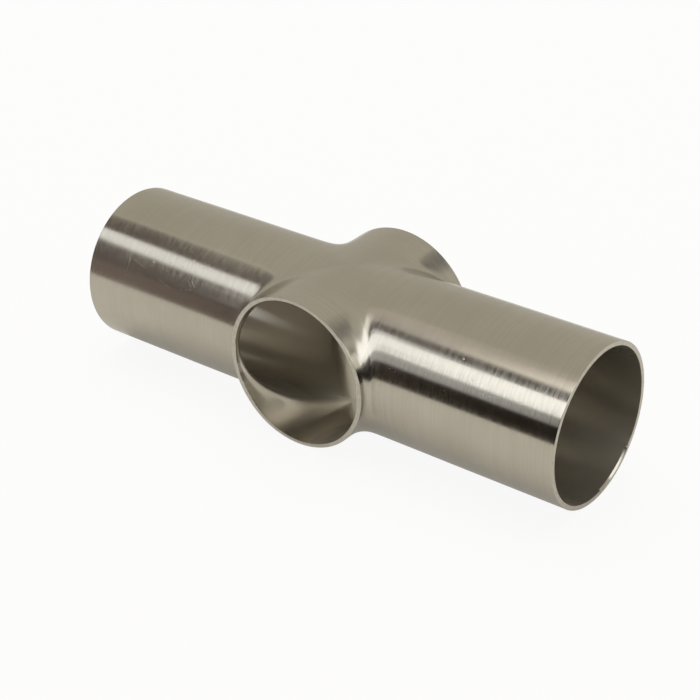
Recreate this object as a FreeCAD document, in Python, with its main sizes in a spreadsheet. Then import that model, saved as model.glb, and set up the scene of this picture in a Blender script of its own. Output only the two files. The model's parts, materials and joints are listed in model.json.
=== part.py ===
import FreeCAD, Part
import math
import os
from FreeCAD import Vector

# A pulled cross for sanitary tubing, pressed from one length of stainless tube.
# The run lies along X, and two short outlets are pulled out of its sides along Y.
# All four ends are cut square, to be butt welded to tube of the same size.
# The origin is where the two bores cross, and the cross lies on its side with Z up.

doc = FreeCAD.newDocument("pulled_cross")

# Driving sizes, in millimetres
sizes = [
    ("tube_diameter", 50.8, "outside diameter of the run and of both outlets"),
    ("tube_wall", 1.5, "thickness of the wall, even all over"),
    ("run_length", 177.8, "from one cut end of the run to the other"),
    ("crotch_draw", 2.1, "outside radius where an outlet leaves the run most sharply"),
    ("flank_draw", 11.0, "outside radius that this grows to, over and under the run"),
    ("outlet_lip", 0.5, "straight wall left between the crotch and the cut face"),
    ("edge_break", 0.15, "bevel on both edges of every cut end, from deburring"),
]
sheet = doc.addObject("Spreadsheet::Sheet", "Sizes")
for row, (name, value, meaning) in enumerate(sizes, start=1):
    sheet.set(f"A{row}", name)
    sheet.set(f"B{row}", str(value))
    sheet.set(f"C{row}", meaning)
    sheet.setAlias(f"B{row}", name)
doc.recompute()

CENTRE = Vector(0, 0, 0)
UP = Vector(0, 0, 1)
ALONG_RUN = Vector(1, 0, 0)
ALONG_OUTLETS = Vector(0, 1, 0)
# Arcs that shape each draw, from the bottom of the run to its top
DRAW_SECTIONS = 24
# Widest gap that is closed when the faces of a skin are joined
JOINING_GAP = 0.01


def draw_arc(form, angle):
    """Section of the draw at an angle up its side, tangent to the run and to the outlet."""
    crotch = form.CrotchDraw.Value
    flank = form.FlankDraw.Value
    skin = form.SkinRadius.Value
    draw = crotch + (flank - crotch) * math.sin(angle) ** 2
    # The outer and inner skins share the arc's centre, so the wall stays even.
    reach = form.TubeRadius.Value + draw
    level, height = math.cos(angle), math.sin(angle)
    on_run = Vector(reach * level, skin * level, skin * height)
    on_outlet = Vector(skin * level, reach * level, skin * height)
    centre = Vector(reach * level, reach * level, reach * height)
    inward = (on_run - centre) + (on_outlet - centre)
    middle = centre + inward.normalize() * (reach - skin)
    arc = Part.Arc(on_run, middle, on_outlet).toShape()
    return Part.Wire(arc.toNurbs().Edges)


def draw_face(form):
    """Flared face between the run and an outlet, closing to a point at top and bottom."""
    top = UP * form.SkinRadius.Value
    turn = math.pi / DRAW_SECTIONS
    arcs = [draw_arc(form, turn * step - math.pi / 2) for step in range(1, DRAW_SECTIONS)]
    return Part.makeLoft([Part.Vertex(-top), *arcs, Part.Vertex(top)]).Faces[0]


def tube_face(form, scallop, along, side, length):
    """Half of a tube's skin, from the scalloped edge of the draw to where its bevel starts."""
    skin = form.SkinRadius.Value
    top = UP * skin
    end = along * length
    end_arc = Part.Arc(end - top, end + side * skin, end + top).toShape()
    top_line = Part.makeLine(top, end + top)
    bottom_line = Part.makeLine(end - top, -top)
    outline = Part.Wire(Part.__sortEdges__([scallop, top_line, end_arc, bottom_line]))
    cylinder = Part.Cylinder()
    cylinder.Axis = along
    cylinder.Radius = skin
    face = Part.Face(cylinder, outline)
    face.fix(JOINING_GAP, Part.Precision.confusion(), JOINING_GAP)
    return face


def bevel_face(form, along, side, reach):
    """Half of the cone that breaks the edge of a cut end."""
    skin, mouth = form.SkinRadius.Value, form.MouthRadius.Value
    start = along * (reach - abs(mouth - skin))
    slope = Part.makeLine(start + UP * skin, along * reach + UP * mouth)
    return slope.revolve(CENTRE, UP.cross(side), 180).Faces[0]


def skin_solid(form):
    """Solid inside one skin: a quarter of it, mirrored across both middle planes and capped."""
    bevel = abs(form.MouthRadius.Value - form.SkinRadius.Value)
    run, outlet = form.RunReach.Value, form.OutletReach.Value
    draw = draw_face(form)
    scallops = [edge for edge in draw.Edges if not edge.Degenerated]
    outlet_scallop, run_scallop = sorted(scallops, key=lambda edge: edge.CenterOfMass.x)
    faces = [
        draw,
        tube_face(form, run_scallop, ALONG_RUN, ALONG_OUTLETS, run - bevel),
        tube_face(form, outlet_scallop, ALONG_OUTLETS, ALONG_RUN, outlet - bevel),
        bevel_face(form, ALONG_RUN, ALONG_OUTLETS, run),
        bevel_face(form, ALONG_OUTLETS, ALONG_RUN, outlet),
    ]
    for normal in (ALONG_RUN, ALONG_OUTLETS):
        faces += [face.mirror(CENTRE, normal) for face in faces]
    for end in (ALONG_RUN * run, -ALONG_RUN * run, ALONG_OUTLETS * outlet, -ALONG_OUTLETS * outlet):
        rim = Part.makeCircle(form.MouthRadius.Value, end, end)
        faces.append(Part.Face(Part.Wire(rim)))
    shell = Part.Shell(faces)
    shell.sewShape()
    return Part.Solid(shell)


def add_form(name, skin_radius, mouth_radius, overcut):
    """Solid inside one skin of the cross, with its sizes bound to the sheet."""
    form = doc.addObject("Part::Feature", name)
    bindings = {
        "TubeRadius": "Sizes.tube_diameter / 2",
        "SkinRadius": skin_radius,
        "MouthRadius": mouth_radius,
        "CrotchDraw": "Sizes.crotch_draw",
        "FlankDraw": "Sizes.flank_draw",
        "RunReach": f"Sizes.run_length / 2 + {overcut}",
        "OutletReach": f"Sizes.tube_diameter / 2 + Sizes.crotch_draw + Sizes.outlet_lip + {overcut}",
    }
    for size, expression in bindings.items():
        form.addProperty("App::PropertyLength", size, "Skin")
        form.setExpression(size, expression)
    doc.recompute()
    form.Shape = skin_solid(form)
    return form


# The outer skin, bevelled in at its mouths
outer_skin = add_form(
    "OuterSkin",
    skin_radius="Sizes.tube_diameter / 2",
    mouth_radius="Sizes.tube_diameter / 2 - Sizes.edge_break",
    overcut="0",
)

# The bore, one wall further in, which flares through its mouths and past the cut faces
bore_skin = add_form(
    "BoreSkin",
    skin_radius="Sizes.tube_diameter / 2 - Sizes.tube_wall",
    mouth_radius="Sizes.tube_diameter / 2 - Sizes.tube_wall + 2 * Sizes.edge_break",
    overcut="Sizes.edge_break",
)

# The one piece of the product: all the metal between the two skins
cross_body = doc.addObject("Part::Cut", "CrossBody")
cross_body.Label = "cross_body"
cross_body.Base = outer_skin
cross_body.Tool = bore_skin
cross_body.Refine = True
doc.recompute()

failed = [item.Name for item in doc.Objects if {"Invalid", "Error"} & set(item.State)]
if failed:
    raise RuntimeError(f"not built: {failed}")

os.makedirs("parts", exist_ok=True)
shape = cross_body.Shape
if shape.isNull() or not shape.isValid() or len(shape.Solids) != 1:
    raise RuntimeError(f"{cross_body.Label} is not one sound solid")
box = shape.BoundBox
print(f"{cross_body.Label}: {box.XLength:.2f} x {box.YLength:.2f} x {box.ZLength:.2f} mm,"
      f" {shape.Volume / 1000:.2f} cm3, {len(shape.Faces)} faces")
shape.exportStep(f"parts/{cross_body.Label}.step")
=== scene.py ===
# %% [markdown]
# # A pulled cross in satin stainless
# The object is one piece of thin steel tube: a straight run with two short outlets
# pulled out of its sides. Its engineering model is already made, and it is loaded first
# as the frame, so that everything modelled here has its size and place.

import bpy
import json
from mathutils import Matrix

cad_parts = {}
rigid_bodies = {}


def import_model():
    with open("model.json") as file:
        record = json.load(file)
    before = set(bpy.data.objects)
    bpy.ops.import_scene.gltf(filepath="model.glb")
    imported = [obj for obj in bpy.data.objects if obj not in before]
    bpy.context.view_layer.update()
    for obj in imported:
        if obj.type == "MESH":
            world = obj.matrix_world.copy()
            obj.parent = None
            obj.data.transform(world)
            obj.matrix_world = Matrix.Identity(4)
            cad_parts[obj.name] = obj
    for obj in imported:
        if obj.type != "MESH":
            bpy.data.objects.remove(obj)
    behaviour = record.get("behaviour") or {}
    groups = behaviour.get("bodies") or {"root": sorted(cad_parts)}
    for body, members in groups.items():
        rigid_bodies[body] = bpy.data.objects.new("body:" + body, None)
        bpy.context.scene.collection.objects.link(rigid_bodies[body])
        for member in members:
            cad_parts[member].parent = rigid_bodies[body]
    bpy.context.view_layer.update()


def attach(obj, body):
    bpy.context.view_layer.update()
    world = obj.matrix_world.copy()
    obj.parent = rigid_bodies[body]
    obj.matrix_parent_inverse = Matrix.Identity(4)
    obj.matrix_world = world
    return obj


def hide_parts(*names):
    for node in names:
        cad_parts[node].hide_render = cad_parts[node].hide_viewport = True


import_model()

# %% Libraries
import json
import math

import bmesh
import bpy
from mathutils import Matrix, Vector

print("Blender", bpy.app.version_string)

# %% [markdown]
# ## The camera
# The photograph looks down on the cross from the right, at thirty degrees, through a long
# lens. A long lens far away keeps the four round mouths from stretching. The place and the
# turn below are where the four mouths and the tube's outline fall as they do in the picture.

# %% Stand the camera
camera_data = bpy.data.cameras.new("portrait_lens")
camera_data.lens = 87.79
camera_data.sensor_width = 36.0
camera = bpy.data.objects.new("portrait_camera", camera_data)
bpy.context.scene.collection.objects.link(camera)
camera_right = Vector((0.79061043, 0.61194805, -0.02132456))
camera_up = Vector((-0.29150719, 0.40678404, 0.86576573))
camera_back = Vector((0.53847814, -0.67826715, 0.49999496))
turn = Matrix((camera_right, camera_up, camera_back)).transposed()
camera.matrix_world = Matrix.Translation((0.2868747, -0.36202769, 0.26165457)) @ turn.to_4x4()
bpy.context.scene.camera = camera
bpy.context.scene.view_settings.view_transform = "Standard"
print("camera stands", round(camera.location.length, 3), "m from the cross")

# %% [markdown]
# ## Working by hand in edit mode
# Every shape below is made with the same few moves: select points or edges by where they
# are, then extrude, spin, bridge or slide them. An operator acts on all that is selected,
# so each selection starts from nothing.

# %% Selecting by place
TINY = 1e-6


def deselect_objects():
    """Leaves no object selected, so that the next operator works on one piece alone."""
    for item in bpy.context.view_layer.objects:
        item.select_set(False)


def begin_edit(piece):
    """Opens one piece for modelling."""
    deselect_objects()
    piece.select_set(True)
    bpy.context.view_layer.objects.active = piece
    bpy.ops.object.mode_set(mode="EDIT")


def select_points(piece, wanted):
    """Selects the points of the open piece for which wanted(place) is true."""
    bpy.ops.mesh.select_mode(type="VERT")
    bpy.ops.mesh.select_all(action="DESELECT")
    shape = bmesh.from_edit_mesh(piece.data)
    for point in shape.verts:
        point.select = bool(wanted(point.co))
    shape.select_flush(True)
    bmesh.update_edit_mesh(piece.data)


def select_edges(piece, wanted):
    """Selects the edges of the open piece for which wanted(place, place) is true."""
    bpy.ops.mesh.select_mode(type="EDGE")
    bpy.ops.mesh.select_all(action="DESELECT")
    shape = bmesh.from_edit_mesh(piece.data)
    for edge in shape.edges:
        edge.select = bool(wanted(edge.verts[0].co, edge.verts[1].co))
    shape.select_flush_mode()
    bmesh.update_edit_mesh(piece.data)


def count_points(piece):
    """How many points the open piece has."""
    return len(bmesh.from_edit_mesh(piece.data).verts)


print("points nearer than", TINY, "m count as one")


# %% [markdown]
# ## The cross, one eighth at a time
# A real pulled cross starts as a plain tube. A hole is cut in its side and a ball is drawn
# out through it, so that the metal turns over into a short outlet. Both outlets have the
# run's own diameter, so the flared neck is tight in the crotch, opens out as it climbs the
# side, and dies away to nothing on the top line.
#
# The cross is alike across all three of its middle planes, so one eighth of its skin is
# modelled and mirrored. Joining two tubes with a boolean and bevelling the seam gives a
# neck of one radius and a knot of small faces. Here the neck is spun instead, section by
# section, so that every arc leaves one tube and meets the other without a crease.

# %% Sizes of the cross, in metres
TUBE_RADIUS = 0.0254
WALL = 0.0015
HALF_RUN = 0.0889
OUTLET_FACE = 0.0280
CROTCH_DRAW = 0.0021
FLANK_DRAW = 0.0110
TOP_SLACK = 0.0140
EDGE_BREAK = 0.00015
SECTIONS = 48
ARC_STEPS = 16


def section_angle(number):
    """How far up the side of the tube a section of the neck stands."""
    return math.radians(90.0 * number / SECTIONS)


def draw_radius(angle):
    """Outside radius of the neck at an angle up its side, slackest on the top line."""
    steep = math.sin(angle) ** 2
    return CROTCH_DRAW + (FLANK_DRAW - CROTCH_DRAW) * steep + TOP_SLACK * steep ** 6


print("neck radius", round(draw_radius(0), 4), "m in the crotch and",
      round(draw_radius(math.pi / 2), 4), "m on top")

# %% The run's end, a quarter of a circle
deselect_objects()
bpy.ops.mesh.primitive_circle_add(
    vertices=4 * SECTIONS, radius=TUBE_RADIUS, location=(HALF_RUN, 0, 0), rotation=(0, math.pi / 2, 0))
cross = bpy.context.active_object
cross.name = "pulled_cross"
cross.data.name = "pulled_cross"
bpy.ops.object.transform_apply(location=True, rotation=True, scale=True)
begin_edit(cross)
select_points(cross, lambda p: p.y > TINY or p.z < -TINY)
bpy.ops.mesh.delete(type="VERT")
print("quarter circle of", count_points(cross), "points")

# %% Extrude it into the run's wall, and cut the fish mouth where the neck begins
bpy.ops.mesh.select_all(action="SELECT")
bpy.ops.mesh.extrude_edges_move(TRANSFORM_OT_translate={"value": (-HALF_RUN, 0, 0)})
for number in range(SECTIONS):
    angle = section_angle(number)
    start = Vector((0, -TUBE_RADIUS * math.cos(angle), TUBE_RADIUS * math.sin(angle)))
    select_points(cross, lambda p: (p - start).length < TINY)
    slide = (TUBE_RADIUS + draw_radius(angle)) * math.cos(angle)
    bpy.ops.transform.translate(value=(slide, 0, 0))
print("fish mouth cut from x = 0 to x =", round((TUBE_RADIUS + CROTCH_DRAW) * 1000, 2), "mm")

# %% Rings along the run, so that its long faces stay even
RUN_CUTS = 13


def lies_along_run(a, b):
    """True for an edge that runs the way the run does."""
    return abs(a.y - b.y) < TINY and abs(a.z - b.z) < TINY


select_edges(cross, lies_along_run)
bpy.ops.mesh.subdivide(number_cuts=RUN_CUTS)
print("run's wall has", count_points(cross), "points")

# %% Spin each section of the neck
neck_arcs = []
for number in range(SECTIONS):
    angle = section_angle(number)
    level, height = math.cos(angle), math.sin(angle)
    reach = TUBE_RADIUS + draw_radius(angle)
    on_run = Vector((reach * level, -TUBE_RADIUS * level, TUBE_RADIUS * height))
    centre = Vector((reach * level, -reach * level, reach * height))
    on_outlet = Vector((TUBE_RADIUS * level, -reach * level, TUBE_RADIUS * height))
    select_points(cross, lambda p: (p - on_run).length < TINY)
    shape = bmesh.from_edit_mesh(cross.data)
    shape.verts.ensure_lookup_table()
    first = [point.index for point in shape.verts if point.select]
    made = len(shape.verts)
    sweep = (on_run - centre).angle(on_outlet - centre)
    axle = (on_run - centre).cross(on_outlet - centre).normalized()
    bpy.ops.mesh.spin(steps=ARC_STEPS, angle=-sweep, center=centre, axis=axle)
    shape = bmesh.from_edit_mesh(cross.data)
    shape.verts.ensure_lookup_table()
    neck_arcs.append(first + list(range(made, len(shape.verts))))
    miss = (shape.verts[-1].co - on_outlet).length
    if number in (0, SECTIONS // 2, SECTIONS - 1):
        print("section", number, "turns", round(math.degrees(sweep), 1), "degrees, misses by",
              f"{miss:.1e}", "m")

# %% Bridge the sections into the flared neck
for left, right in zip(neck_arcs, neck_arcs[1:]):
    bpy.ops.mesh.select_mode(type="EDGE")
    bpy.ops.mesh.select_all(action="DESELECT")
    shape = bmesh.from_edit_mesh(cross.data)
    shape.verts.ensure_lookup_table()
    for arc in (left, right):
        for a, b in zip(arc, arc[1:]):
            shape.edges.get((shape.verts[a], shape.verts[b])).select = True
    shape.select_flush_mode()
    bmesh.update_edit_mesh(cross.data)
    bpy.ops.mesh.bridge_edge_loops()
print("neck of", len(neck_arcs), "sections,", count_points(cross), "points")

# %% Close the neck to a point on the top line
top_point = Vector((0, 0, TUBE_RADIUS))
bpy.ops.mesh.select_mode(type="EDGE")
bpy.ops.mesh.select_all(action="DESELECT")
shape = bmesh.from_edit_mesh(cross.data)
shape.verts.ensure_lookup_table()
last_arc = neck_arcs[-1]
for a, b in zip(last_arc, last_arc[1:]):
    shape.edges.get((shape.verts[a], shape.verts[b])).select = True
shape.select_flush_mode()
bmesh.update_edit_mesh(cross.data)
bpy.ops.mesh.extrude_edges_move()
bpy.ops.transform.resize(value=(0, 0, 0), center_override=top_point)
bpy.ops.mesh.select_all(action="SELECT")
bpy.ops.mesh.remove_doubles(threshold=TINY)
print("closed at the top with", count_points(cross), "points")

# %% Draw the outlet's lip out to its cut face
def on_outlet_mouth(p):
    """True on the edge where the neck has become the outlet's own tube."""
    angle = math.atan2(p.z, p.x)
    reach = (TUBE_RADIUS + draw_radius(angle)) * math.cos(angle)
    return abs(math.hypot(p.x, p.z) - TUBE_RADIUS) < TINY and abs(-p.y - reach) < TINY


LIP_CUTS = 5
select_edges(cross, lambda a, b: on_outlet_mouth(a) and on_outlet_mouth(b))
bpy.ops.mesh.extrude_edges_move()
bpy.ops.transform.resize(value=(1, 0, 1), center_override=(0, -OUTLET_FACE, 0))
select_edges(cross, lambda a, b: abs(a.x - b.x) < TINY and abs(a.z - b.z) < TINY
             and max(abs(a.y), abs(b.y)) > OUTLET_FACE - TINY)
bpy.ops.mesh.subdivide(number_cuts=LIP_CUTS)
bpy.ops.object.mode_set(mode="OBJECT")
print("one eighth of the cross has", len(cross.data.polygons), "faces")

# %% Mirror the eighth across the three middle planes
mirror = cross.modifiers.new("three_planes", "MIRROR")
mirror.use_axis = (True, True, True)
mirror.merge_threshold = TINY
bpy.ops.object.modifier_apply(modifier=mirror.name)
begin_edit(cross)
bpy.ops.mesh.select_all(action="SELECT")
bpy.ops.mesh.remove_doubles(threshold=TINY)
bpy.ops.mesh.normals_make_consistent(inside=False)
bpy.ops.object.mode_set(mode="OBJECT")
outward = sum(face.normal.y * face.center.y + face.normal.z * face.center.z > 0
              for face in cross.data.polygons)
print(outward, "of", len(cross.data.polygons), "faces look outwards")

# %% [markdown]
# ## Where press and hand leave their trace
# Spun arcs meet in a sharp star on the top line and end in a faint line on the neck's
# flanks. Real metal has neither, because it slackens as the balls are drawn out. A Smooth
# modifier with a weight softens the flanks and the star, and leaves the crotch and the
# mouths alone. The front outlet came out of the press a little flat and out of round. Both
# are done with proportional editing, which takes the metal near the mouth along, as a real
# dent would.

# %% Slacken the metal by a weight
def smooth_step(low, high, value):
    """0 below low, 1 above high, and a soft slope between them."""
    share = min(1.0, max(0.0, (value - low) / (high - low)))
    return share * share * (3 - 2 * share)


def slacken(name, weight, iterations):
    """Smooths the skin in place, as much as weight(place) says."""
    shares = [weight(point.co) for point in cross.data.vertices]
    group = cross.vertex_groups.new(name=name)
    for point, share in zip(cross.data.vertices, shares):
        group.add([point.index], share, "REPLACE")
    soften = cross.modifiers.new(name, "SMOOTH")
    soften.factor = 0.5
    soften.iterations = iterations
    soften.vertex_group = group.name
    bpy.ops.object.modifier_apply(modifier=soften.name)
    softened = sum(share > 0.5 for share in shares)
    print(name, "softens", softened, "of", len(shares), "points in", iterations, "rounds")


# %% The neck's flanks, and the star on the top and bottom lines
FLANK_ROUNDS = 24
STAR_ROUNDS = 200


def on_flank(p):
    """Round the upper and lower flanks of the neck, clear of the crotch and of the mouths."""
    clear_of_crotch = smooth_step(0.006, 0.014, abs(p.z))
    clear_of_mouth = smooth_step(0.0275, 0.024, abs(p.y))
    near_neck = smooth_step(0.050, 0.040, abs(p.x))
    return clear_of_crotch * clear_of_mouth * near_neck


def on_star(p):
    """Near the point where the neck's arcs meet, on the top and the bottom line."""
    return smooth_step(0.028, 0.012, math.hypot(p.x, p.y)) * smooth_step(0.010, 0.020, abs(p.z))


slacken("flank_slack", on_flank, FLANK_ROUNDS)
slacken("star_slack", on_star, STAR_ROUNDS)
top = max(point.co.z for point in cross.data.vertices if abs(point.co.x) < 0.001)
print("top of the cross now at", round(top * 1000, 3), "mm")

# %% Flatten the front mouth a little, and push it out of round
FLATTENED, FLAT_REACH = 0.976, 0.014
OUT_OF_ROUND, PUSH_REACH = 0.0006, 0.022
PUSHED_SIDE = TUBE_RADIUS * math.cos(math.radians(25))


def at_front_mouth(p):
    """True within a millimetre of the front outlet's cut face."""
    return p.y < -OUTLET_FACE + 0.001


begin_edit(cross)
select_points(cross, at_front_mouth)
bpy.ops.transform.resize(
    value=(1, 1, FLATTENED), center_override=(0, 0, 0), use_proportional_edit=True,
    proportional_edit_falloff="SMOOTH", proportional_size=FLAT_REACH)
select_points(cross, lambda p: at_front_mouth(p) and p.x < -PUSHED_SIDE)
bpy.ops.transform.translate(
    value=(OUT_OF_ROUND, 0, 0), use_proportional_edit=True,
    proportional_edit_falloff="SMOOTH", proportional_size=PUSH_REACH)
bpy.ops.object.mode_set(mode="OBJECT")
mouth = [point.co for point in cross.data.vertices if point.co.y < -OUTLET_FACE + TINY]
print("front mouth from", round(min(p.x for p in mouth) * 1000, 2), "to",
      round(max(p.x for p in mouth) * 1000, 2), "mm across and",
      round(max(p.z for p in mouth) * 1000, 2), "mm up")

# %% [markdown]
# ## The wall
# The skin is a single sheet so far. The metal of a pulled outlet is stretched over its top
# and bottom and gathered at its sides, so the wall isn't even: it is thinner above and
# below each outlet's mouth and a little thicker at its sides. A Solidify modifier gives the
# sheet its wall on the inside, and a weight on every point says how thick the wall is there.
# The same modifier can give the bore and the cut edges a finish of their own.

# %% How thick the wall is at each point
THICKEST = 0.00155
STRETCHED = 0.00108


def wall_at(p):
    """Thickness of the wall under a point of the skin."""
    out = smooth_step(0.010, OUTLET_FACE, abs(p.y)) * smooth_step(0.032, 0.022, abs(p.x))
    over = abs(p.z) / TUBE_RADIUS
    mouth = THICKEST + (STRETCHED - THICKEST) * over ** 2
    return WALL + (mouth - WALL) * out


wall_weight = cross.vertex_groups.new(name="wall")
for point in cross.data.vertices:
    wall_weight.add([point.index], wall_at(point.co) / THICKEST, "REPLACE")
print("wall from", STRETCHED * 1000, "to", THICKEST * 1000, "mm")

# %% Give the skin its wall
FINISHES = ("satin_outside", "satin_bore", "cut_edge")
for name in FINISHES:
    cross.data.materials.append(bpy.data.materials.new(name))
shell = cross.modifiers.new("wall", "SOLIDIFY")
shell.thickness = THICKEST
shell.offset = -1.0
shell.use_even_offset = True
shell.vertex_group = wall_weight.name
shell.material_offset = FINISHES.index("satin_bore")
shell.material_offset_rim = FINISHES.index("cut_edge")
bpy.ops.object.modifier_apply(modifier=shell.name)
cross.vertex_groups.clear()
print("cross has", len(cross.data.polygons), "faces with its wall")

# %% Cut all four ends dead square
begin_edit(cross)
for end in ((HALF_RUN, 0, 0), (-HALF_RUN, 0, 0), (0, OUTLET_FACE, 0), (0, -OUTLET_FACE, 0)):
    face = Vector(end)
    select_points(cross, lambda p: abs(p.dot(face.normalized()) - face.length) < 0.0001)
    bpy.ops.transform.resize(value=(0, 1, 1) if face.x else (1, 0, 1), center_override=face)
bpy.ops.object.mode_set(mode="OBJECT")
farthest = [max(abs(point.co[axis]) for point in cross.data.vertices) for axis in (0, 1)]
print("ends at", [round(reach * 1000, 4) for reach in farthest], "mm")

# %% [markdown]
# ## The cut edges
# Each mouth was sawn square and its edges were broken with a file, enough to take the burr
# off. A bevel two faces wide on every rim catches the light as a thin bright line. Low on
# the inner edge of the run's near end the file slipped and cut a wider flat, which is a
# bevel of its own with the outside's finish.

# %% A slip of the file on the near end of the run, low on its inner edge
SLIP_FROM, SLIP_TO, SLIP = -84, -42, 0.0006


def is_slip(a, b):
    """True for an edge of the run's right end that the file cut deeper."""
    for p in (a, b):
        angle = math.degrees(math.atan2(p.z, p.y))
        on_inner_edge = p.x > HALF_RUN - TINY and math.hypot(p.y, p.z) < TUBE_RADIUS - WALL / 2
        if not (on_inner_edge and SLIP_FROM < angle < SLIP_TO):
            return False
    return True


begin_edit(cross)
select_edges(cross, is_slip)
bpy.ops.mesh.bevel(offset=SLIP, segments=1, affect="EDGES", material=FINISHES.index("satin_outside"))
bpy.ops.object.mode_set(mode="OBJECT")
print("slip of the file over", SLIP_TO - SLIP_FROM, "degrees")

# %% Break the edges of the four mouths
def goes_round_mouth(a, b):
    """True for an edge that follows the rim of a cut end."""
    for reach, along, across in ((HALF_RUN, 0, 1), (OUTLET_FACE, 1, 0)):
        if min(abs(a[along]), abs(b[along])) > reach - TINY:
            turned = abs(math.atan2(a.z, a[across]) - math.atan2(b.z, b[across]))
            return turned > math.radians(0.5)
    return False


begin_edit(cross)
select_edges(cross, goes_round_mouth)
bpy.ops.mesh.bevel(offset=EDGE_BREAK, segments=2, affect="EDGES")
bpy.ops.object.mode_set(mode="OBJECT")
print("rims broken,", len(cross.data.polygons), "faces")

# %% Shade it smooth, with the broad faces leading
SHARPEST = 35
bpy.ops.object.shade_smooth_by_angle(angle=math.radians(SHARPEST))
lead = cross.modifiers.new("broad_faces_lead", "WEIGHTED_NORMAL")
lead.mode = "FACE_AREA"
lead.weight = 50
lead.keep_sharp = True
bpy.ops.object.modifier_apply(modifier=lead.name)
print("smooth wherever faces turn by less than", SHARPEST, "degrees")

# %% Give the cross its place in the frame
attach(cross, "root")
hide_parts("cross_body")
print(cross.name, "rides on root and stands for cross_body")

# %% [markdown]
# ## Writing a finish as a sum
# A procedural finish is mostly arithmetic on a few patterns. Wiring it node by node is slow
# to read, so a varying number is wrapped in a small class: adding or multiplying two of
# them adds the Math node that does it. Every other node comes from one method.

# %% A varying number
class Varying:
    """A number that changes over the surface, used in sums like any other number."""

    def __init__(self, finish, socket):
        self.finish = finish
        self.socket = socket

    def sum_of(self, operation, *terms):
        """The result of one Math node."""
        node = self.finish.node("ShaderNodeMath", {"operation": operation}, dict(enumerate(terms)))
        return Varying(self.finish, node.outputs[0])

    def __add__(self, other):
        return self.sum_of("ADD", self, other)

    def __sub__(self, other):
        return self.sum_of("SUBTRACT", self, other)

    def __rsub__(self, other):
        return self.sum_of("SUBTRACT", other, self)

    def __mul__(self, other):
        return self.sum_of("MULTIPLY", self, other)

    def __truediv__(self, other):
        return self.sum_of("DIVIDE", self, other)

    def __rtruediv__(self, other):
        return self.sum_of("DIVIDE", other, self)

    def __pow__(self, other):
        return self.sum_of("POWER", self, other)

    def __neg__(self):
        return self * -1.0

    def __abs__(self):
        return self.sum_of("ABSOLUTE", self)

    __radd__ = __add__
    __rmul__ = __mul__

    def at_most(self, other):
        """The lower of two numbers."""
        return self.sum_of("MINIMUM", self, other)

    def at_least(self, other):
        """The higher of two numbers."""
        return self.sum_of("MAXIMUM", self, other)

    def root(self):
        """The square root."""
        return self.sum_of("SQRT", self)

    def angle_from(self, level):
        """The angle, in radians, whose rise is this number and whose run is the other."""
        return self.sum_of("ARCTAN2", self, level)

    def ramp(self, low, high, start=0.0, end=1.0):
        """Rises softly from start to end as this number goes from low to high."""
        node = self.finish.node(
            "ShaderNodeMapRange", {"interpolation_type": "SMOOTHSTEP"},
            {"Value": self, "From Min": low, "From Max": high, "To Min": start, "To Max": end})
        return Varying(self.finish, node.outputs[0])


print("numbers can vary over the surface")

# %% The sheet that a finish is worked out on
class Finish:
    """The node tree of one material, or of the air round the cross."""

    def __init__(self, owner):
        owner.use_nodes = True
        self.tree = owner.node_tree
        self.tree.nodes.clear()

    def node(self, kind, settings=None, inputs=None):
        """A new node of a kind, with its settings made first and its sockets filled."""
        node = self.tree.nodes.new(kind)
        for key, value in (settings or {}).items():
            setattr(node, key, value)
        for key, value in (inputs or {}).items():
            if isinstance(value, Varying):
                value = value.socket
            if isinstance(value, bpy.types.NodeSocket):
                self.tree.links.new(value, node.inputs[key])
            else:
                node.inputs[key].default_value = value
        return node

    def place(self):
        """The point's place on the piece, as a vector and as three varying numbers."""
        where = self.node("ShaderNodeTexCoord").outputs["Object"]
        parts = self.node("ShaderNodeSeparateXYZ", inputs={0: where}).outputs
        return where, [Varying(self, part) for part in parts]

    def noise(self, where, scale, detail=2.0, roughness=0.5, stretch=(1, 1, 1)):
        """Soft noise between 0 and 1, stretched along the axes that have a small number."""
        laid = self.node("ShaderNodeMapping", inputs={"Vector": where, "Scale": stretch})
        grain = self.node("ShaderNodeTexNoise", inputs={
            "Vector": laid.outputs[0], "Scale": scale, "Detail": detail, "Roughness": roughness})
        return Varying(self, grain.outputs[0])

    def blend(self, share, first, second):
        """A colour between two, by a share."""
        node = self.node("ShaderNodeMix", {"data_type": "RGBA"}, {0: share, 6: first, 7: second})
        return node.outputs[2]


print("finishes to write:", ", ".join(FINISHES))
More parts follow.
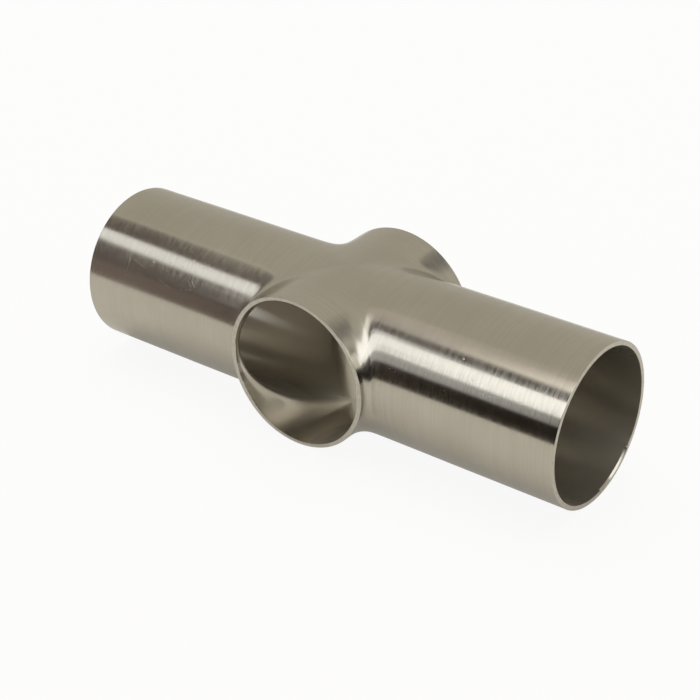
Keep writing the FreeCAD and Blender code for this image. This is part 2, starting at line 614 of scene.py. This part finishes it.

# %% [markdown]
# ## Satin steel
# The fitting is finished with a belt that runs round the tube, so its fine scratches go
# round and its reflections are drawn out along the tube. The fine grain and the belt's
# broader strokes are two noises drawn out round the tube. They make the roughness and the
# colour uneven, and a very shallow bump. The run is brushed round X and the outlets round Y.
# They are two shaders, mixed where the neck turns from one to the other.
#
# Handling has left small scratches on the run's front, drawn here as short straight marks.
# No belt reaches the bore, so it is duller than the outside, apart from the outlets' mouths,
# which are less dull. There the bore's colour is also painted paler: a painted sheen for the
# light that falls in through the mouths.

# %% Small marks on the run: from millimetre and degree, to millimetre and degree, width
MARKS = (
    (-71.7, 34.7, -65.0, 30.9, 0.04), (-61.0, 27.8, -52.5, 23.4, 0.04), (-50.5, 25.0, -45.5, 27.8, 0.04),
    (-73.2, 21.0, -73.0, 41.0, 0.045), (-46.3, 34.0, -44.6, 30.6, 0.16), (-47.6, 33.2, -46.2, 30.4, 0.12),
    (-49.0, 48.5, -47.6, 46.6, 0.22), (-41.6, 45.4, -40.2, 44.0, 0.26), (-44.5, 46.2, -43.0, 45.2, 0.16),
    (-57.5, 41.0, -55.4, 40.4, 0.16), (-54.0, 42.3, -51.0, 41.2, 0.12), (-64.0, 38.0, -62.6, 36.9, 0.12),
    (54.0, 46.8, 54.3, 46.4, 0.34), (58.9, 35.7, 59.3, 35.0, 0.30), (62.6, 30.6, 64.2, 29.8, 0.20),
    (64.6, 29.6, 67.2, 30.4, 0.14), (75.4, 32.2, 77.0, 33.4, 0.16), (77.6, 33.8, 79.4, 34.6, 0.14),
    (31.8, 24.7, 32.0, 24.3, 0.22), (34.1, 23.8, 34.3, 23.5, 0.22), (36.1, 31.3, 36.4, 31.0, 0.20),
    (51.3, 23.3, 51.5, 23.0, 0.24), (44.2, 29.4, 44.9, 29.0, 0.14),
)


def mark(x, arc, left, left_angle, right, right_angle, width):
    """1 on a short straight mark of the run's front and 0 beside it."""
    x0, x1 = left / 1000, right / 1000
    a0, a1 = math.radians(left_angle) * TUBE_RADIUS, math.radians(right_angle) * TUBE_RADIUS
    long, tall = x1 - x0, a1 - a0
    across, up = x - x0, arc - a0
    share = ((across * long + up * tall) / (long ** 2 + tall ** 2)).at_most(1.0).at_least(0.0)
    off = ((across - share * long) ** 2 + (up - share * tall) ** 2).root()
    return off.ramp(width / 1000, width / 3000)


print(len(MARKS), "marks on the run")

# %% Colours of the steel, and how deep its scratches are
STEEL_BRIGHT = (0.520, 0.487, 0.420, 1)
STEEL_DULL = (0.485, 0.452, 0.387, 1)
STEEL_LINE = (0.440, 0.408, 0.352, 1)
# Paler colour for the bore in the outlets' mouths: a painted sheen, not the steel's own tone.
MOUTH_PAINTED_SHEEN = (0.740, 0.700, 0.620, 1)
STEEL_WORN = (0.720, 0.700, 0.660, 1)
ANISOTROPY = 0.9
QUARTER_TURN = 0.25
MARK_DEPTH = 0.000008
STROKE_DEPTH = 0.000010
print("marks", MARK_DEPTH * 1e6, "and strokes", STROKE_DEPTH * 1e6, "micrometres deep at most")

# %% Grain drawn out round the tube, and the marks on it
def drawn_round(finish, where, on_outlet, narrow, long, detail, roughness):
    """Noise narrow along the tube and long round it, on the run and on the outlets."""
    pattern = {"scale": 1.0, "detail": detail, "roughness": roughness}
    run = finish.noise(where, stretch=(narrow, long, long), **pattern)
    outlet = finish.noise(where, stretch=(long, narrow, long), **pattern)
    return run + (outlet - run) * on_outlet


def worn_by(marks, finish, where, x, y, z):
    """1 on the marks, broken up as real scratches are, and 0 beside them."""
    arc = z.angle_from(-y) * TUBE_RADIUS
    worn = mark(x, arc, *marks[0])
    for more in marks[1:]:
        worn = worn.at_least(mark(x, arc, *more))
    return worn * finish.noise(where, 1300.0, detail=1.0).ramp(0.35, 0.6)


print("grain goes round the run and round the outlets")

# %% Brushed steel, for the outside and for the bore
TURN_WIDTH = 0.006
CLOUD_SHOWS = 0.06
WORN_ROUGHER, WORN_PALER = 0.12, 0.35
DULL_ROUGHNESS = 0.7
PAINTED_SHEEN_SHARE, MOUTH_CLEARER = 0.7, 0.85


def brushed_steel(name, roughness, strokes_show, line, haze=0.0, marks=()):
    """Steel whose scratches go round the run and round the outlets."""
    finish = Finish(bpy.data.materials[name])
    where, (x, y, z) = finish.place()
    on_outlet = (abs(y) - abs(x)).ramp(-TURN_WIDTH, TURN_WIDTH)
    grain = drawn_round(finish, where, on_outlet, narrow=2400, long=24, detail=4.0, roughness=0.65)
    strokes = drawn_round(finish, where, on_outlet, narrow=2600, long=260, detail=3.0, roughness=0.6)
    cloud = finish.noise(where, 55.0, detail=4.0)
    polish = finish.blend(cloud.ramp(0.3, 0.7), STEEL_DULL, STEEL_BRIGHT)
    colour = finish.blend(grain.ramp(0.60, 0.36, end=line), polish, STEEL_LINE)
    rough = (cloud - 0.5) * CLOUD_SHOWS + (strokes - 0.5) * strokes_show + roughness
    height = (grain + strokes * 2.0) * (STROKE_DEPTH * strokes_show)
    if marks:
        worn = worn_by(marks, finish, where, x, y, z)
        height = height - worn * MARK_DEPTH
        rough = rough + worn * WORN_ROUGHER
        colour = finish.blend(worn * WORN_PALER, colour, STEEL_WORN)
    # Towards the outlets' mouths the bore's colour is painted paler: a painted sheen for the light that
    # falls in there.
    if haze:
        colour = finish.blend(on_outlet * PAINTED_SHEEN_SHARE, colour, MOUTH_PAINTED_SHEEN)
    bump = finish.node("ShaderNodeBump", inputs={"Strength": 1.0, "Distance": 1.0, "Height": height})
    shaders = []
    for axis in ("X", "Y"):
        tangent = finish.node("ShaderNodeTangent", {"direction_type": "RADIAL", "axis": axis})
        shader = finish.node("ShaderNodeBsdfPrincipled", inputs={
            "Base Color": colour, "Metallic": 1.0, "Roughness": rough,
            "Anisotropic": ANISOTROPY, "Anisotropic Rotation": QUARTER_TURN,
            "Tangent": tangent.outputs[0], "Normal": bump.outputs[0]})
        shaders.append(shader.outputs[0])
    mixed = finish.node("ShaderNodeMixShader", inputs={0: on_outlet, 1: shaders[0], 2: shaders[1]})
    if haze:
        dull = finish.node("ShaderNodeBsdfPrincipled", inputs={
            "Base Color": colour, "Metallic": 1.0, "Roughness": DULL_ROUGHNESS, "Normal": bump.outputs[0]})
        dulled = (1.0 - on_outlet * MOUTH_CLEARER) * haze
        mixed = finish.node("ShaderNodeMixShader", inputs={
            0: dulled, 1: mixed.outputs[0], 2: dull.outputs[0]})
    finish.node("ShaderNodeOutputMaterial", inputs={0: mixed.outputs[0]})
    print(name, "written with", len(finish.tree.nodes), "nodes")


brushed_steel("satin_outside", roughness=0.20, strokes_show=0.27, line=0.35, marks=MARKS)
brushed_steel("satin_bore", roughness=0.20, strokes_show=0.01, line=0.03, haze=0.30)

# %% The cut edges
SAWN_DARK = (0.52, 0.49, 0.43, 1)
SAWN_PALE = (0.62, 0.59, 0.53, 1)


def cut_edge(name):
    """Sawn and filed steel, paler and without a clear direction."""
    finish = Finish(bpy.data.materials[name])
    where = finish.place()[0]
    cloud = finish.noise(where, 900.0, detail=3.0)
    colour = finish.blend(cloud.ramp(0.3, 0.7), SAWN_DARK, SAWN_PALE)
    bump = finish.node("ShaderNodeBump", inputs={"Strength": 1.0, "Distance": 0.000004, "Height": cloud})
    shader = finish.node("ShaderNodeBsdfPrincipled", inputs={
        "Base Color": colour, "Metallic": 1.0, "Roughness": cloud * 0.12 + 0.38, "Normal": bump.outputs[0]})
    finish.node("ShaderNodeOutputMaterial", inputs={0: shader.outputs[0]})
    print(name, "written with", len(finish.tree.nodes), "nodes")


cut_edge("cut_edge")

# %% [markdown]
# ## The studio
# Bright metal shows what stands around it, so the studio is part of the finish. The cross
# lies on a pale floor in a pale room. At the front left stands a dark board with a bright
# panel in it: the panel draws the light band along the run, and the board the dark ones.
# Both go on round the corner to the right, for the neck and the bore. A shade and a strip of
# floor behind the cross are for its back; the strip is painted shade, darker than the paper.
# Only the metal's reflections see these cards, as a photographer keeps them out of the picture.
#
# The floor and the air are white for the camera and softer for the metal, so that the steel
# stays grey. A Light Path node tells the two apart.

# %% White for the camera, softer for mirrors and glass
def white_share(finish, seen, mirrored):
    """How white a thing is: one share for the camera, another for what mirrors or shines through."""
    ray = finish.node("ShaderNodeLightPath").outputs
    camera_ray, glossy_ray, through_ray = (
        Varying(finish, ray[kind]) for kind in ("Is Camera Ray", "Is Glossy Ray", "Is Transmission Ray"))
    return camera_ray * seen + (glossy_ray + through_ray) * mirrored


WHITE = (1, 1, 1, 1)
FLOOR_SHARES = {"seen": 0.92, "mirrored": 0.3}
AIR_SHARES = {"seen": 1.0, "mirrored": 0.2}
print("white shares: floor", FLOOR_SHARES, "air", AIR_SHARES)

# %% Floor
FLOOR_LEVEL = -TUBE_RADIUS
deselect_objects()
bpy.ops.mesh.primitive_plane_add(size=12.0, location=(0, 0, FLOOR_LEVEL))
floor = bpy.context.active_object
floor.name = "floor"
floor.data.materials.append(bpy.data.materials.new("pale_paper"))
paper = Finish(floor.data.materials[0])
side = paper.node("ShaderNodeNewGeometry")
sheet_of_paper = paper.node("ShaderNodeBsdfDiffuse", inputs={"Color": (0.77, 0.75, 0.72, 1)})
white = paper.node("ShaderNodeEmission", inputs={"Color": WHITE, "Strength": 1.0})
lit = paper.node("ShaderNodeMixShader", inputs={
    0: white_share(paper, **FLOOR_SHARES), 1: sheet_of_paper.outputs[0], 2: white.outputs[0]})
clear = paper.node("ShaderNodeBsdfTransparent")
from_below = paper.node("ShaderNodeMixShader", inputs={
    0: side.outputs["Backfacing"], 1: lit.outputs[0], 2: clear.outputs[0]})
paper.node("ShaderNodeOutputMaterial", inputs={0: from_below.outputs[0]})
print("floor", round(-FLOOR_LEVEL * 1000, 1), "mm below the middle of the cross")

# %% Cards that only the metal sees
def card(name, corners, brightness, colour):
    """A flat card through four corners, glowing evenly, seen only in reflections."""
    shape = bpy.data.meshes.new(name)
    shape.from_pydata([Vector(c) for c in corners], [], [(0, 1, 2, 3)])
    sheet = bpy.data.objects.new(name, shape)
    bpy.context.scene.collection.objects.link(sheet)
    glow = bpy.data.materials.new(name)
    finish = Finish(glow)
    light = finish.node("ShaderNodeEmission", inputs={"Color": (*colour, 1), "Strength": brightness})
    finish.node("ShaderNodeOutputMaterial", inputs={0: light.outputs[0]})
    shape.materials.append(glow)
    sheet.visible_camera = False
    sheet.visible_diffuse = False
    sheet.visible_shadow = False


def upright(name, first, last, low, high, brightness, colour):
    """An upright card between two points of the floor plan, with a low and a high edge."""
    (x0, y0), (x1, y1) = first, last
    corners = [(x0, y0, low[0]), (x1, y1, low[1]), (x1, y1, high[1]), (x0, y0, high[0])]
    card(name, corners, brightness, colour)


print("cards glow evenly and throw no shadow")

# %% The line of the board on the floor plan
BOARD_POINT = Vector((-0.082, -0.274))
BOARD_WAY = Vector((0.9454, -0.3258))
BOARD_FRONT = Vector((-BOARD_WAY.y, BOARD_WAY.x))
BOARD_END, PARTING, TURNING = -0.68, -0.09, 0.06
CORNER, RIGHT_END = (0.62, -0.60), (0.72, 0.27)


def on_board(along, forward=0.0):
    """A point of the floor plan, from how far along the board it is, a little before it or not."""
    spot = BOARD_POINT + BOARD_WAY * along + BOARD_FRONT * forward
    return spot.x, spot.y


print("board from", [round(v, 3) for v in on_board(BOARD_END)],
      "to", [round(v, 3) for v in on_board(TURNING)])

# %% The dark board
DARK_RIGHT, DARK_LEFT = (0.026, 0.021, 0.016), (0.155, 0.132, 0.118)
DARK_FOOT = (0.265, 0.215, 0.195)
FOOT_FORWARD = 0.002
on_floor = (FLOOR_LEVEL, FLOOR_LEVEL)
left_end, parting, turning = on_board(BOARD_END), on_board(PARTING), on_board(TURNING)
upright("board_left", left_end, parting, on_floor, (0.89, 0.44), 1.0, DARK_LEFT)
upright("board_foot", on_board(BOARD_END, FOOT_FORWARD), on_board(PARTING, FOOT_FORWARD),
        on_floor, (0.06, 0.06), 1.0, DARK_FOOT)
upright("board_right", parting, turning, on_floor, (0.45, 0.45), 1.0, DARK_RIGHT)
upright("board_corner", turning, CORNER, on_floor, (0.20, 0.42), 0.3, DARK_RIGHT)
upright("board_side", CORNER, RIGHT_END, on_floor, (0.42, 0.22), 0.3, DARK_RIGHT)
print("dark board in five cards")

# %% The bright panel, a little before the board
PANEL_WHITE = (0.98, 1.0, 1.03)
PANEL_FORWARD = 0.004
left_stop, bend, side_stop = on_board(-0.45, PANEL_FORWARD), (0.081, -0.347), (0.654, -0.253)
parting, turning = on_board(PARTING, PANEL_FORWARD), on_board(TURNING, PANEL_FORWARD)
upright("panel_left", left_stop, parting, (0.215, 0.180), (0.320, 0.315), 1.45, PANEL_WHITE)
upright("panel_right", parting, turning, (0.152, 0.152), (0.289, 0.328), 1.95, PANEL_WHITE)
upright("panel_foot", parting, turning, (0.086, 0.086), (0.152, 0.152), 0.7, PANEL_WHITE)
upright("panel_turn", turning, bend, (0.152, 0.22), (0.345, 1.75), 2.0, PANEL_WHITE)
upright("panel_corner", bend, CORNER, (0.22, 0.50), (1.75, 2.10), 2.1, PANEL_WHITE)
upright("panel_side", CORNER, side_stop, (0.50, 0.36), (2.10, 1.05), 2.1, PANEL_WHITE)
upright("panel_end", side_stop, RIGHT_END, (0.36, 0.10), (1.05, 0.70), 2.1, PANEL_WHITE)
print("bright panel in seven cards")

# %% A shade, and a strip of painted shade on the floor behind the cross
upright("back_shade", (0.62, 0.66), (0.10, 0.92), (0.52, 0.52), (0.92, 0.92), 0.2, (1.0, 0.97, 0.93))
strip = FLOOR_LEVEL + 0.002
# The strip glows darker than the lit paper: painted shade on the floor behind the cross, seen only in the
# metal.
card("back_floor", [(-2.5, 0.2, strip), (0.6, 0.2, strip), (0.6, 2.5, strip), (-2.5, 2.5, strip)],
     1.0, (0.56, 0.54, 0.49))
print("strip of floor", round((strip - FLOOR_LEVEL) * 1000, 1), "mm above the paper")

# %% The room's bright edge above the board
ROOM_BEHIND = -0.004
left_end, edge_start = on_board(BOARD_END, ROOM_BEHIND), on_board(-0.16, ROOM_BEHIND)
turning = on_board(TURNING, ROOM_BEHIND)
upright("room_edge_right", edge_start, turning, (0.50, 0.50), (1.0, 1.0), 1.6, (1.0, 0.96, 0.90))
upright("room_edge_left", left_end, edge_start, (0.92, 0.435), (1.60, 0.90), 0.75, (1.0, 0.94, 0.85))
print("room's edge in two cards")

# %% One soft lamp overhead
LAMP_PLACE = Vector((-0.3, 0.3, 1.6))
LAMP_SIDE = 1.8
LAMP_GLOW = 1.93
lamp_data = bpy.data.lights.new("overhead", "AREA")
lamp_data.shape = "RECTANGLE"
lamp_data.size = lamp_data.size_y = LAMP_SIDE
lamp_data.energy = LAMP_GLOW * math.pi * LAMP_SIDE ** 2
lamp = bpy.data.objects.new("overhead", lamp_data)
bpy.context.scene.collection.objects.link(lamp)
lamp.location = LAMP_PLACE
lamp.rotation_mode = "QUATERNION"
lamp.rotation_quaternion = (-LAMP_PLACE).to_track_quat("-Z", "Y")
lamp.visible_glossy = False
print("lamp of", round(lamp_data.energy, 1), "W")

# %% The air: a grey room, and white where the camera looks
ROOM = (0.500, 0.471, 0.379, 1)
world = bpy.data.worlds.new("studio")
bpy.context.scene.world = world
air = Finish(world)
room = air.node("ShaderNodeBackground", inputs={"Color": ROOM})
backdrop = air.node("ShaderNodeBackground", inputs={"Color": WHITE})
either = air.node("ShaderNodeMixShader", inputs={
    0: white_share(air, **AIR_SHARES), 1: room.outputs[0], 2: backdrop.outputs[0]})
air.node("ShaderNodeOutputWorld", inputs={0: either.outputs[0]})
print("room colour", ROOM[:3])
